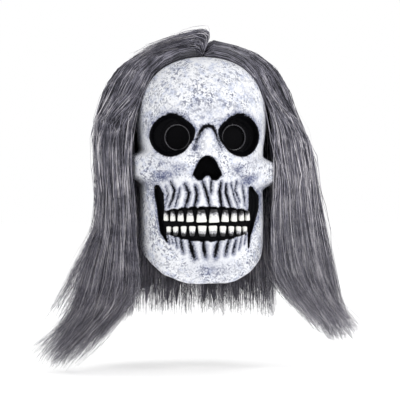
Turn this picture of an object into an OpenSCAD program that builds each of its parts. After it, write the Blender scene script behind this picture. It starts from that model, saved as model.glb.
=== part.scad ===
// Overhead latex skull mask with a glued-on wig of long hair.
// The face looks along -Y, +Z is up and +X is the wearer's left.
// The origin is the point inside the dome where the wearer's crown touches it.

/* [Cranium] */
// Width of the dome at its widest, outside
cranium_w = 164; // [135:1:200]
// Length of the dome from brow to back, outside
cranium_l = 202; // [168:1:243]
// Height of the dome above its widest level
dome_h = 87; // [72:1:105]
// Squareness of the dome, where 2 is an ellipsoid
dome_power = 2.4; // [2:0.1:3]
// Thickness of the latex
wall = 2.4; // [1.6:0.1:4]

/* [Face] */
// Height from the top of the dome to the bottom of the chin
face_h = 281; // [234:1:338]
// Height from the top of the dome to the nape edge
nape_h = 193; // [170:1:220]
// Width across the cheekbones
cheek_w = 170; // [150:1:205]
// Depth of the cheekbones below the top of the dome
cheek_drop = 144; // [136:1:152]
// Width across the temples
temple_w = 148; // [130:1:170]
// Width across the jaw
jaw_w = 144; // [120:1:172]
// Squareness of the face at the eyes, where 2 is an ellipse
face_power = 2.8; // [2.4:0.1:3.2]
// Radius of the rolled lower edge
lip_r = 8; // [5:0.5:11]
// Width of the flap that turns in under the chin
chin_flap = 14; // [6:1:24]

/* [Eyes and nose] */
// Distance between the middles of the eye sockets
socket_pitch = 80; // [72:1:88]
// Depth of the eye sockets below the top of the dome
socket_drop = 102; // [96:1:108]
// Diameter of a socket's mouth
socket_d = 51; // [43:1:60]
// Distance between the middles of the eye holes
eye_pitch = 70; // [62:1:76]
// Depth of the eye holes below the top of the dome
eye_drop = 105; // [100:1:110]
// Diameter of an eye hole
eye_d = 30; // [24:0.5:36]
// How far the socket floor lies behind the brow
socket_depth = 27; // [20:1:32]
// Angle that a socket floor turns outwards
eye_turn = 18; // [8:1:24]
// Width of the nose opening
nose_w = 37; // [30:1:44]
// Height of the nose opening
nose_h = 29; // [24:1:35]
// Depth of the nose opening's top below the top of the dome
nose_drop = 126; // [122:1:130]
// How far the nose opening's floor lies behind the face
nose_depth = 17; // [12:1:22]
// Thickness of the screens
screen_t = 0.8; // [0.4:0.1:1.5]
// Width of the glued border round each screen
screen_border = 4; // [3:0.5:6]

/* [Mouth] */
// Teeth on each side of a row
teeth_a_side = 5; // [3:1:6]
// Width of the two upper front teeth
upper_front_w = 13; // [10:0.5:14]
// Width of the upper teeth next to them
upper_side_w = 9; // [7:0.5:10]
// Width of the two lower front teeth
lower_front_w = 11; // [9:0.5:12]
// Width of the lower teeth next to them
lower_side_w = 8; // [6:0.5:9]
// Height of the upper teeth
upper_tooth_h = 15; // [12:0.5:18]
// Height of the lower teeth
lower_tooth_h = 11; // [9:0.5:14]
// Gap between two teeth of one row
tooth_gap = 2; // [1:0.1:3]
// Gap between the two rows
bite_gap = 4; // [2:0.5:6]
// Depth of the bite line below the top of the dome
bite_drop = 209; // [200:1:218]
// How far the teeth stand out of the face
tooth_relief = 2.2; // [1:0.1:3.5]
// Depth of the hollow beside the teeth
cheek_hollow = 11; // [6:1:15]

/* [Wig] */
// Width of a sewn hair track
weft_w = 7; // [5:0.5:10]
// Thickness of a sewn hair track
weft_t = 2; // [1.4:0.1:3]
// How deep a track or hair root is pressed into what it is glued to
glue_bite = 0.3; // [0.1:0.1:0.5]
// Height of the hair over the top of the dome
top_bulk = 12; // [8:1:18]
// Thickness of the hair at the sides of the dome
side_bulk = 44; // [30:1:52]
// Thickness of the hair at the back of the dome
back_bulk = 16; // [10:1:24]
// Level of the bend between lying and hanging hair, below the top of the dome
bend_drop = 64; // [58:1:68]
// Free gap between hair that moves and what stays still
hair_gap = 2; // [1:0.25:4]
// Diameter of the closing patch at the crown
patch_d = 32; // [24:1:36]

/* [Head strap] */
// Width of the elastic at the nape
strap_w = 20; // [15:1:25]
// Thickness of the elastic
strap_t = 1.2; // [0.8:0.1:2]
// Width of the slot up the back
slot_w = 44; // [30:1:55]
// Height of the slot up the back
slot_h = 62; // [45:1:80]
// Thickness of the latex patches over the strap ends
tab_t = 1.5; // [1:0.1:2.5]

/* [Hidden] */

// Heights, from depths below the top of the dome
dome_z = wall - dome_h;
chin_z = wall - face_h;
nape_z = wall - nape_h;
cheek_z = wall - cheek_drop;
temple_z = wall - cheek_drop + 26;
bend_z = wall - bend_drop;
socket_z = wall - socket_drop;
eye_z = wall - eye_drop;
bite_z = wall - bite_drop;
brow_y = -cranium_l / 2;

// Grid of the latex skin
SKIN_TURNS = 40;
DOME_ROWS = 7;
FACE_ROWS = 14;
LIP_ROWS = 3;
root_exp = 2 / dome_power;

// Half width of the head at height z
side_profile = [
  [chin_z, jaw_w / 2 - 4], [chin_z + 45, jaw_w / 2], [cheek_z - 16, jaw_w / 2],
  [temple_z, temple_w / 2], [dome_z, cranium_w / 2]
];
// Reach of the face in front of the axis at height z
front_profile = [
  [chin_z, -brow_y - 5], [chin_z + 18, -brow_y], [chin_z + 38, -brow_y - 5],
  [bite_z - 10, -brow_y - 1], [bite_z + 14, -brow_y], [cheek_z - 20, -brow_y - 4],
  [cheek_z, -brow_y - 3], [temple_z, -brow_y - 1], [dome_z, -brow_y]
];
// Reach of the head behind the axis at height z
back_profile = [[nape_z, cranium_l / 2 - 19], [cheek_z, cranium_l / 2 - 5], [dome_z, cranium_l / 2]];
// Squareness of the head at height z
power_profile = [
  [bite_z, 2.4], [cheek_z, (face_power + 2.4) / 2], [socket_z, face_power], [dome_z, dome_power]
];
// Height of the lower edge at angle phi from the front
edge_profile = [
  [0, chin_z], [15, chin_z + 1], [22, chin_z + 7], [32, chin_z + 16], [45, chin_z + 25],
  [60, chin_z + 33], [78, chin_z + 43], [95, (chin_z + 2 * nape_z) / 3], [120, nape_z - 8],
  [150, nape_z], [180, nape_z]
];

function turned(phi) = abs(phi > 180 ? phi - 360 : phi);
function mix(a, b, t) = a + (b - a) * t;
function bump(x, middle, width) = exp(-pow((x - middle) / width, 2));

// Radius at angle phi of an oval of half width a, reach b and squareness p
function oval_r(phi, a, b, p) =
  pow(pow(abs(sin(phi)) / a, p) + pow(abs(cos(phi)) / b, p), -1 / p);

function reach(phi, z) = lookup(z, turned(phi) < 90 ? front_profile : back_profile);

function cheekbone(phi, z) =
  (cheek_w / 2 - lookup(cheek_z, side_profile) + 1) * bump(z, cheek_z, 16) * bump(turned(phi), 74, 26);

function nose_bridge(phi, z) = 7 * bump(z, wall - nose_drop + 8, 20) * bump(turned(phi), 0, 7);

function skin_r(phi, z, inset) =
  oval_r(phi, lookup(z, side_profile) - inset, reach(phi, z) - inset, lookup(z, power_profile))
  + cheekbone(phi, z) + nose_bridge(phi, z);

// Point on the dome, or on one that is grown outwards by three different amounts
function dome_point(phi, rise, side, back, top, p) =
  let (
    r = pow(cos(rise), 2 / p) * oval_r(phi, cranium_w / 2 + side, cranium_l / 2 + back, p),
    z = dome_z + (dome_h + top) * pow(sin(rise), 2 / p)
  )
  [r * sin(phi), -r * cos(phi), z];

function polar(phi, r, z) = [r * sin(phi), -r * cos(phi), z];

// The column of skin points at angle phi, from the dome's second row to the inner edge of the lip
function skin_column(phi, inset, hem) =
  let (
    edge_z = lookup(turned(phi), edge_profile),
    edge_r = skin_r(phi, edge_z + lip_r, 0),
    turn_in = lip_r + 1 + chin_flap * pow(max(0, cos(phi)), 2),
    roll = lip_r - inset
  )
  concat(
    [for (i = [1:DOME_ROWS - 1]) dome_point(phi, 90 - 90 * i / DOME_ROWS, -inset, -inset, -inset, dome_power)],
    [for (i = [0:FACE_ROWS]) let (z = mix(dome_z, edge_z + lip_r, i / FACE_ROWS)) polar(phi, skin_r(phi, z, inset), z)],
    [
      for (i = [1:LIP_ROWS]) let (a = 90 * i / LIP_ROWS)
        polar(phi, edge_r - lip_r + roll * cos(a), edge_z + lip_r - roll * sin(a))
    ],
    [polar(phi, edge_r - turn_in, edge_z + inset)],
    hem > 0 ? [polar(phi, edge_r - turn_in, chin_z - hem)] : []
  );

// Closed solid inside the skin, moved inwards by inset; with a hem it runs on down past the chin
module skin_solid(inset, hem = 0) {
  columns = [for (i = [0:SKIN_TURNS - 1]) skin_column(360 * i / SKIN_TURNS, inset, hem)];
  rows = len(columns[0]);
  last = SKIN_TURNS * rows;
  low_z = hem > 0 ? chin_z - hem : chin_z + 40;
  points = concat([for (c = columns) each c], [[0, 0, wall - inset], [0, 0, low_z]]);
  polyhedron(
    points,
    [
      for (i = [0:SKIN_TURNS - 1]) let (a = i * rows, b = ((i + 1) % SKIN_TURNS) * rows)
        each concat(
          [[last, b, a], [last + 1, a + rows - 1, b + rows - 1]],
          [for (j = [0:rows - 2]) each [[a + j, b + j, a + j + 1], [b + j, b + j + 1, a + j + 1]]]
        )
    ]
  );
}

// Slab between two grids of points of the same size: under[i][j] lies below over[i][j]
module slab(under, over) {
  m = len(under);
  n = len(under[0]);
  top = m * n;
  points = concat([for (r = under) each r], [for (r = over) each r]);
  function quad(a, b, c, d) = [[a, b, c], [a, c, d]];
  polyhedron(
    points,
    concat(
      [
        for (i = [0:m - 2], j = [0:n - 2]) let (k = i * n + j)
          each concat(quad(k, k + n, k + n + 1, k + 1), quad(top + k, top + k + 1, top + k + n + 1, top + k + n))
      ],
      [
        for (i = [0:m - 2]) let (k = i * n, l = i * n + n - 1)
          each concat(quad(k, top + k, top + k + n, k + n), quad(l, l + n, top + l + n, top + l))
      ],
      [
        for (j = [0:n - 2]) let (l = (m - 1) * n + j)
          each concat(quad(j, j + 1, top + j + 1, top + j), quad(l, top + l, top + l + 1, l + 1))
      ]
    )
  );
}

// ---- Face openings, each drawn grown by its wall or at its own size ----

// Socket pocket on the wearer's left, from the brow to its floor
module socket_pocket(grow) {
  hull() {
    for (corner = [[-3, 2], [3, 3], [2, -3]])
      translate([socket_pitch / 2 + corner[0], brow_y - 12, socket_z + corner[1]])
        rotate([-90, 0, 0]) cylinder(h = 12 + socket_depth * 0.6, d = socket_d - 5 + 2 * grow, $fn = 28);
    eye_place() translate([0, 0, -grow]) cylinder(h = 1, d = eye_d + 2 * screen_border + 2 * grow, $fn = 28);
  }
}

// Puts children on the socket floor, with +Z out through the eye hole
module eye_place() {
  translate([eye_pitch / 2, brow_y + socket_depth, eye_z]) rotate([0, 0, eye_turn]) rotate([90, 0, 0]) children();
}

// One half of the nose opening, which leans outwards from its top
module nose_lobe(grow, shrink, from_y, to_y) {
  top_r = 7;
  foot_r = 10;
  hull() {
    for (foot = [0, 1])
      translate([foot * (nose_w / 2 - foot_r), from_y, wall - nose_drop - (foot ? nose_h - foot_r : top_r)])
        rotate([-90, 0, 0]) cylinder(h = to_y - from_y, r = (foot ? foot_r : top_r) + grow - shrink, $fn = 20);
  }
}

module nose_shape(grow, shrink, from_y, to_y) {
  nose_lobe(grow, shrink, from_y, to_y);
  mirror([1, 0, 0]) nose_lobe(grow, shrink, from_y, to_y);
}

// Hollow beside the teeth on the wearer's left, as three round-ended stops down the cheek
module hollow_pocket(grow) {
  jaw_x = jaw_w / 2;
  stops = [[jaw_x - 16, bite_z + 40, 5], [jaw_x - 15, bite_z + 13, 5], [jaw_x - 22, bite_z - 24, 2.5]];
  for (i = [0:1])
    hull() for (s = [stops[i], stops[i + 1]]) {
      floor_y = -skin_r(35, bite_z, 0) * cos(35) + cheek_hollow;
      translate([s[0], brow_y - 5, s[1]])
        rotate([-90, 0, 0]) cylinder(h = floor_y - brow_y + 5 + grow, r = s[2] + grow, $fn = 16);
    }
}

// Width of tooth i of a row, counted from the middle
function tooth_w(front_w, side_w, i) = i == 0 ? front_w : side_w * pow(0.92, i - 1);

// Distance along the row from its middle to the middle of tooth i
function tooth_along(front_w, side_w, i) =
  i == 0
    ? (front_w + tooth_gap) / 2
    : tooth_along(front_w, side_w, i - 1) + tooth_gap
      + (tooth_w(front_w, side_w, i - 1) + tooth_w(front_w, side_w, i)) / 2;

// Direction that the skin faces at angle phi, which is less than phi where the face is flat
function facing(phi, z) =
  phi - atan2((skin_r(phi + 1, z, 0) - skin_r(phi - 1, z, 0)) * 90 / PI, skin_r(phi, z, 0));

// Row of teeth round the front of the mouth; each is narrower at its root
module teeth(front_w, side_w, height, middle_z, root_up) {
  for (side = [-1, 1], i = [0:teeth_a_side - 1]) {
    phi = side * tooth_along(front_w, side_w, i) / -brow_y * 180 / PI;
    w = tooth_w(front_w, side_w, i);
    h = height * (1 - 0.05 * i);
    depth = tooth_relief + wall / 2;
    translate(polar(phi, skin_r(phi, middle_z, wall / 2) + depth / 2, middle_z))
      rotate([0, 0, facing(phi, middle_z)])
        hull() {
          translate([0, 0, -root_up * h / 4]) cube([w, depth, h / 2], center = true);
          translate([0, 0, root_up * h / 4]) cube([w * 0.72, depth, h / 2], center = true);
        }
  }
}

module latex_shell() {
  color("ghostwhite")
    union() {
      difference() {
        skin_solid(0);
        difference() {
          skin_solid(wall, 20);
          both_sides() socket_pocket(wall);
          both_sides() hollow_pocket(wall);
          nose_shape(wall, 0, brow_y - 12, brow_y + nose_depth + wall);
        }
        both_sides() socket_pocket(0);
        both_sides() eye_place() translate([0, 0, -10]) cylinder(h = 20, d = eye_d, $fn = 32);
        both_sides() hollow_pocket(0);
        nose_shape(0, 0, brow_y - 12, brow_y + nose_depth);
        nose_shape(0, screen_border, brow_y, brow_y + nose_depth + 10);
        nape_slot();
      }
      teeth(upper_front_w, upper_side_w, upper_tooth_h, bite_z + (bite_gap + upper_tooth_h) / 2, 1);
      teeth(lower_front_w, lower_side_w, lower_tooth_h, bite_z - (bite_gap + lower_tooth_h) / 2, -1);
    }
}

module both_sides() {
  children();
  mirror([1, 0, 0]) children();
}

// Round-topped slot up the back, so that the mask opens for the head
module nape_slot() {
  hull() {
    translate([0, cranium_l / 4, nape_z + slot_h - slot_w / 2])
      rotate([-90, 0, 0]) cylinder(h = cranium_l / 2, d = slot_w, $fn = 32);
    translate([-slot_w / 2, cranium_l / 4, nape_z - 20]) cube([slot_w, cranium_l / 2, 10]);
  }
}

// ---- Screens ----

module eye_screen() {
  color("black")
    eye_place() translate([0, 0, -wall - screen_t]) cylinder(h = screen_t, d = eye_d + 2 * screen_border, $fn = 48);
}

module nose_screen() {
  color("black") {
    back = brow_y + nose_depth + wall;
    top_z = wall - nose_drop;
    translate([-nose_w / 2, back, top_z - nose_h]) cube([nose_w, screen_t, nose_h]);
  }
}

// ---- Strap: bands that follow the inside of the shell ----

// Band from angle phi0 to phi1 and height z0 to z1, between two insets from the outer skin
module inside_band(phi0, phi1, z0, z1, outer_inset, inner_inset) {
  steps = 12;
  function edge(inset) = [
    for (i = [0:steps]) let (phi = mix(phi0, phi1, i / steps))
      [for (z = [z0, z1]) polar(phi, skin_r(phi, z, inset), z)]
  ];
  slab(edge(inner_inset), edge(outer_inset));
}

strap_low = nape_z + 12;
strap_start = 138;
strap_inset = wall - glue_bite;
tab_turn = 13;

module nape_strap() {
  color("dimgray")
    inside_band(strap_start, 360 - strap_start, strap_low, strap_low + strap_w, strap_inset, strap_inset + strap_t);
}

module strap_patch() {
  border = 5;
  inset = strap_inset + strap_t - glue_bite;
  color("gainsboro")
    inside_band(
      strap_start - 3, strap_start + tab_turn, strap_low - border, strap_low + strap_w + border, inset, inset + tab_t
    );
}

// ---- Wig ----

// Angles at which the side hair meets the back hair
side_back_phi = 126;
back_start_phi = 127.5;
// How far the lying hair laps over the edge of the closing patch
patch_lap = 1.8;
// Rises on the dome, as angles above its widest level
top_rise = acos(pow((patch_d / 2 - patch_lap) / (cranium_w / 2), dome_power / 2));
upper_weft_rise = 64;
lower_weft_rise = 26;
// Lying hair ends level, this far above the bend
bend_rise = asin(pow((bend_z + hair_gap - dome_z) / dome_h, 1 / root_exp));
cloud_bend_rise = asin((bend_z + hair_gap - dome_z) / (dome_h + top_bulk));
// Hair's inner face, measured out from the dome
hair_seat = weft_t - 2 * glue_bite;

// Hairline: angle from the front at which side hair starts, by rise on the dome
hairline = [[0, 62], [20, 64], [35, 62], [45, 58], [55, 42], [64, 24], [72, 8], [90, 8]];

// Sewn track glued along the dome at one rise, from phi0 to phi1
module weft(phi0, phi1, rise) {
  steps = max(6, round((phi1 - phi0) / 8));
  half = weft_w / 2 / dome_h * 180 / PI;
  function edge(grow) = [
    for (i = [0:steps]) let (phi = mix(phi0, phi1, i / steps))
      [for (s = [-1, 1]) dome_point(phi, rise + s * half, grow, grow, grow, dome_power)]
  ];
  color("darkslategray") slab(edge(-glue_bite), edge(weft_t - glue_bite));
}

// Hair lying on the dome between angles start and end, thin along its free front edge
module lying_hair(start_phi, end_phi, follows_hairline) {
  steps = 10;
  rows = 9;
  function phi_at(rise, i) = mix(follows_hairline ? lookup(rise, hairline) : start_phi, end_phi, i / steps);
  function depth_at(i) = follows_hairline ? mix(0.3, 1, min(1, 2.5 * i / steps)) : 1;
  function rise_at(j) = mix(bend_rise, top_rise, j / rows);
  under = [
    for (i = [0:steps])
      [for (j = [0:rows]) dome_point(phi_at(rise_at(j), i), rise_at(j), hair_seat, hair_seat, hair_seat, dome_power)]
  ];
  over = [
    for (i = [0:steps])
      [
        for (j = [0:rows])
          mix(
            under[i][j],
            dome_point(
              phi_at(rise_at(j), i), mix(cloud_bend_rise, top_rise, j / rows), side_bulk, back_bulk, top_bulk, 2
            ),
            depth_at(i)
          )
      ]
  ];
  color("gray") slab(under, over);
}

module crown_patch() {
  color("darkslategray") translate([0, 0, wall - weft_t / 2]) cylinder(h = weft_t, d = patch_d, $fn = 48);
}

module parting_tuft() {
  color("gray")
    translate([0, 0, wall + top_bulk])
      hull() {
        translate([-16, -30, -4.4]) sphere(r = 8, $fn = 20);
        translate([4, -24, -6.4]) sphere(r = 7, $fn = 20);
        translate([2, -34, 10.6]) sphere(r = 4, $fn = 20);
      }
}

// Side of the head that the hanging hair clears, and the y where it meets the back hair
head_side_x = max(cranium_w / 2, cheek_w / 2 - 3, jaw_w / 2 + 10, temple_w / 2 + 8);
back_edge_y = round(-oval_r(side_back_phi, cranium_w / 2, cranium_l / 2, dome_power) * cos(side_back_phi));
// Hanging side hair, as stations of [drop below the bend, inner and outer face out from the head's side,
// front edge behind the brow, back edge behind the seam with the back hair]
fall_left_stations = [
  [0, 4, 38, 57, 2], [20, 5, 46, 51, 4], [44, 6, 58, 47, 4], [75, 7, 66, 45, 4],
  [106, 5, 72, 45, 2], [131, 0, 77, 43, -2], [162, -2, 84, 39, -8], [190, -3, 91, 33, -16],
  [212, 4, 97, 29, -24], [238, 23, 101, 27, -30], [262, 41, 106, 27, -38], [278, 53, 116, 31, -48],
  [290, 64, 94, 39, -60]
];
fall_right_stations = [
  [0, 4, 44, 57, 2], [18, 5, 53, 51, 4], [41, 6, 55, 47, 4], [81, 7, 53, 45, 4],
  [116, 4, 51, 45, 2], [151, -2, 53, 43, -2], [171, -5, 59, 39, -8], [195, -9, 68, 35, -14],
  [217, -14, 80, 31, -22], [240, -8, 93, 27, -28], [260, 10, 108, 27, -36], [284, 34, 122, 31, -46],
  [303, 60, 130, 37, -54], [316, 80, 110, 45, -64]
];

// Least gap between the hanging hair and the side of the face
face_gap = 2.5;

// Inner face of the hair at a station, kept clear of the face beside it
function inner_out(s, z) = max(s[1], z > chin_z ? skin_r(90, z, 0) + face_gap - head_side_x : s[1]);

// Loft of rounded sections down a list of stations; side is 1 for the wearer's left
module hanging_hair(stations, side) {
  turns = 16;
  top_z = bend_z - hair_gap;
  squareness = 0.7;
  // From a to b and back as the angle turns
  function between(a, b, wave) = (a + b) / 2 + (b - a) / 2 * sign(wave) * pow(abs(wave), squareness);
  function section(s) = [
    for (i = [0:turns - 1]) let (a = side * 360 * i / turns, z = top_z - s[0])
      [
        side * (head_side_x + between(inner_out(s, z), s[2], cos(a))),
        between(brow_y + s[3], back_edge_y + s[4], sin(a)),
        z
      ]
  ];
  n = len(stations);
  points = [for (s = stations) each section(s)];
  color("gray")
    polyhedron(
      points,
      concat(
        [[for (i = [turns - 1:-1:0]) i]],
        [[for (i = [0:turns - 1]) (n - 1) * turns + i]],
        [
          for (j = [0:n - 2], i = [0:turns - 1])
            let (a = j * turns + i, b = j * turns + (i + 1) % turns)
              each [[a, b, a + turns], [b, b + turns, a + turns]]
        ]
      )
    );
}

// Back hair: a curved curtain that hangs outside the back of the dome
back_len = 270;
back_flare = 20;
back_rows = 8;
module back_fall() {
  steps = 12;
  top_z = bend_z - hair_gap;
  function ring(extra) = [
    for (i = [0:steps]) let (phi = mix(back_start_phi + 2, 360 - back_start_phi - 2, i / steps))
      [
        for (j = [0:back_rows])
          let (
            t = j / back_rows,
            r = oval_r(phi, cranium_w / 2 + hair_seat + hair_gap, cranium_l / 2 + hair_seat + hair_gap, dome_power),
            z = top_z - back_len * (1 - t)
          )
          polar(phi, r + back_flare * (1 - t) + (extra > 0 ? extra * (0.8 + 0.5 * sin(180 * (1 - t))) : 0), z)
      ]
  ];
  color("gray") slab(ring(0), ring(back_bulk - 2));
}

latex_shell();
eye_screen();  // eye_screen_left
mirror([1, 0, 0]) eye_screen();  // eye_screen_right
nose_screen();
nape_strap();
strap_patch();  // strap_patch_left
mirror([1, 0, 0]) strap_patch();  // strap_patch_right
crown_patch();
weft(28, side_back_phi, upper_weft_rise);  // upper_weft_left
mirror([1, 0, 0]) weft(28, side_back_phi, upper_weft_rise);  // upper_weft_right
weft(back_start_phi, 360 - back_start_phi, upper_weft_rise);  // upper_weft_back
weft(68, side_back_phi, lower_weft_rise);  // lower_weft_left
mirror([1, 0, 0]) weft(68, side_back_phi, lower_weft_rise);  // lower_weft_right
weft(back_start_phi, 360 - back_start_phi, lower_weft_rise);  // lower_weft_back
lying_hair(0, side_back_phi, true);  // crown_hair_left
mirror([1, 0, 0]) lying_hair(0, side_back_phi, true);  // crown_hair_right
lying_hair(back_start_phi, 360 - back_start_phi, false);  // crown_hair_back
parting_tuft();
hanging_hair(fall_left_stations, 1);  // side_fall_left
hanging_hair(fall_right_stations, -1);  // side_fall_right
back_fall();
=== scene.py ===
import math

import bmesh
import bpy
import numpy as np
from mathutils import Matrix, Vector


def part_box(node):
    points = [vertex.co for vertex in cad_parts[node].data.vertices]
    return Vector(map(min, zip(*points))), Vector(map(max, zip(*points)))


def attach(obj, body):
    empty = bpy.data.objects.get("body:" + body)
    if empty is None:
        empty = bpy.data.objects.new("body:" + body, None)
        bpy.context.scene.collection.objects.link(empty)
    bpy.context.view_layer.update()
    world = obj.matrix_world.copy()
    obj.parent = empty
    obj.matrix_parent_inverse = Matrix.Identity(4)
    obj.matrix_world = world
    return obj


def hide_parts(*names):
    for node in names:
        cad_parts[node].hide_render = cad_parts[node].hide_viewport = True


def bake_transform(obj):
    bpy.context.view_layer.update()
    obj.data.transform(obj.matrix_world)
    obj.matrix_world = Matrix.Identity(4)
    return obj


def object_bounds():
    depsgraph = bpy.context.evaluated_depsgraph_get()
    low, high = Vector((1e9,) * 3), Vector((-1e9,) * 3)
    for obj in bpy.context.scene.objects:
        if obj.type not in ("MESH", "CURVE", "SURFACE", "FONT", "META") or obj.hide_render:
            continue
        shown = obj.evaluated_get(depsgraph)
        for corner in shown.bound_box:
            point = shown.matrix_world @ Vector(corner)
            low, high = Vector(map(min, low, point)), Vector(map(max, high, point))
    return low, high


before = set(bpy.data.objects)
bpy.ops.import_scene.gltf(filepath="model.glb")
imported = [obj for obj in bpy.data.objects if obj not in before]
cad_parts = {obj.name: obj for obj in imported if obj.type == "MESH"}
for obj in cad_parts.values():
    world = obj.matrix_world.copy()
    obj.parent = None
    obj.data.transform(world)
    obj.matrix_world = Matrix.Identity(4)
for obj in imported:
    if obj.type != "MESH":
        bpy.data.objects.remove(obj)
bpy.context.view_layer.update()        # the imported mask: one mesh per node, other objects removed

mm = 0.001
rng = np.random.default_rng(731)


# small helpers, all in millimetres until a mesh is finished

def boxOf(node):
    low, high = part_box(node)
    return np.array(low) / mm, np.array(high) / mm


def smooth(low, high, value):
    t = np.clip((value - low) / (high - low), 0, 1)
    return t * t * (3 - 2 * t)


def bump(value, middle, width):
    return np.exp(-((value - middle) / width) ** 2)


def mix(a, b, t):
    return a + (b - a) * t


def lookUp(table, key):
    keys, values = zip(*table)
    return np.interp(key, keys, values)


def newObject(name, mesh, materials, body):
    for material in materials:
        mesh.materials.append(material)
    piece = bpy.data.objects.new(name, mesh)
    bpy.context.scene.collection.objects.link(piece)
    if body:
        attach(piece, body)
    return piece


def finishMesh(bm, name):
    mesh = bpy.data.meshes.new(name)
    bm.to_mesh(mesh)
    bm.free()
    mesh.polygons.foreach_set("use_smooth", [True] * len(mesh.polygons))
    return mesh


def readPoints(mesh):
    points = np.empty(len(mesh.vertices) * 3, dtype=np.float32)
    mesh.vertices.foreach_get("co", points)
    return points.reshape(-1, 3).astype(float)


def writePoints(mesh, points):
    mesh.vertices.foreach_set("co", (points * mm).astype(np.float32).ravel())
    mesh.update()


def floatAttribute(mesh, name, values):
    layer = mesh.attributes.new(name, "FLOAT", "POINT")
    layer.data.foreach_set("value", values.astype(np.float32))


# material nodes

def addNode(tree, kind, **settings):
    node = tree.nodes.new("ShaderNode" + kind)
    for key, value in settings.items():
        setattr(node, key, value)
    return node


def setInputs(node, **values):
    for key, value in values.items():
        node.inputs[key.replace("_", " ")].default_value = value
    return node


def newMaterial(name, roughness):
    material = bpy.data.materials.new(name)
    material.use_nodes = True
    shader = material.node_tree.nodes["Principled BSDF"]
    shader.inputs["Roughness"].default_value = roughness
    return material, material.node_tree, shader


def noise(tree, vector, scale, detail=3.0, rough=0.55):
    node = setInputs(addNode(tree, "TexNoise"), Scale=scale, Detail=detail, Roughness=rough)
    tree.links.new(vector, node.inputs["Vector"])
    return node.outputs["Fac"]


def ramp(tree, factor, stops):
    node = addNode(tree, "ValToRGB")
    elements = node.color_ramp.elements
    while len(elements) < len(stops):
        elements.new(0.5)
    for element, (place, colour) in zip(elements, stops):
        element.position = place
        element.color = (*colour, 1)
    tree.links.new(factor, node.inputs["Fac"])
    return node.outputs["Color"]


def span(tree, value, low, high, outLow=0.0, outHigh=1.0):
    node = addNode(tree, "MapRange", clamp=True)
    for index, number in enumerate((low, high, outLow, outHigh), 1):
        node.inputs[index].default_value = number
    tree.links.new(value, node.inputs[0])
    return node.outputs[0]


def maths(tree, operation, first, second):
    node = addNode(tree, "Math", operation=operation, use_clamp=operation in ("ADD", "MAXIMUM"))
    for socket, value in zip(node.inputs, (first, second)):
        if isinstance(value, (int, float)):
            socket.default_value = value
        else:
            tree.links.new(value, socket)
    return node.outputs[0]


def blendColour(tree, factor, first, second):
    node = addNode(tree, "Mix", data_type="RGBA")
    tree.links.new(factor, node.inputs[0])
    for socket, value in zip((node.inputs[6], node.inputs[7]), (first, second)):
        if isinstance(value, tuple):
            socket.default_value = (*value, 1)
        else:
            tree.links.new(value, socket)
    return node.outputs[2]


def bumpFrom(tree, shader, height, strength, distance):
    node = setInputs(addNode(tree, "Bump"), Strength=strength, Distance=distance)
    tree.links.new(height, node.inputs["Height"])
    tree.links.new(node.outputs["Normal"], shader.inputs["Normal"])


def objectVector(tree):
    return addNode(tree, "TexCoord").outputs["Object"]


def attribute(tree, name):
    return addNode(tree, "Attribute", attribute_name=name).outputs["Fac"]


def makeSpeckleGroup():
    # patchy fine spots: what a dry brush leaves showing of the dark wash
    group = bpy.data.node_groups.new("drySpeckle", "ShaderNodeTree")
    for name, kind in (("Vector", "NodeSocketVector"), ("Spot Scale", "NodeSocketFloat"),
                       ("Patch Scale", "NodeSocketFloat"), ("Cover", "NodeSocketFloat")):
        group.interface.new_socket(name, in_out="INPUT", socket_type=kind)
    for name in ("Mask", "Grain"):
        group.interface.new_socket(name, in_out="OUTPUT", socket_type="NodeSocketFloat")
    inlet = group.nodes.new("NodeGroupInput")
    outlet = group.nodes.new("NodeGroupOutput")
    spots = setInputs(addNode(group, "TexNoise"), Detail=2.5, Roughness=0.6)
    patches = setInputs(addNode(group, "TexNoise"), Detail=3.0, Roughness=0.6)
    for node, scale in ((spots, "Spot Scale"), (patches, "Patch Scale")):
        group.links.new(inlet.outputs["Vector"], node.inputs["Vector"])
        group.links.new(inlet.outputs[scale], node.inputs["Scale"])
    spotMask = span(group, spots.outputs["Fac"], 0.525, 0.585)
    patchMask = span(group, patches.outputs["Fac"], 0.44, 0.60, 0.14, 1.0)
    mask = maths(group, "MULTIPLY", maths(group, "MULTIPLY", spotMask, patchMask), inlet.outputs["Cover"])
    group.links.new(mask, outlet.inputs["Mask"])
    group.links.new(spots.outputs["Fac"], outlet.inputs["Grain"])
    return group


speckleGroup = makeSpeckleGroup()


def speckle(tree, vector, spotScale, patchScale, cover):
    node = addNode(tree, "Group", node_tree=speckleGroup)
    setInputs(node, Spot_Scale=spotScale, Patch_Scale=patchScale, Cover=cover)
    tree.links.new(vector, node.inputs["Vector"])
    return node.outputs["Mask"], node.outputs["Grain"]


paint = {
    "bone": (0.86, 0.87, 0.90),
    "coolBone": (0.42, 0.47, 0.64),
    "spotDark": (0.06, 0.07, 0.14),
    "blueWashAndShade": (0.13, 0.15, 0.26),
    "black": (0.003, 0.003, 0.004),
    "spotScale": 470.0,
    "patchScale": 38.0,
}


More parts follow.
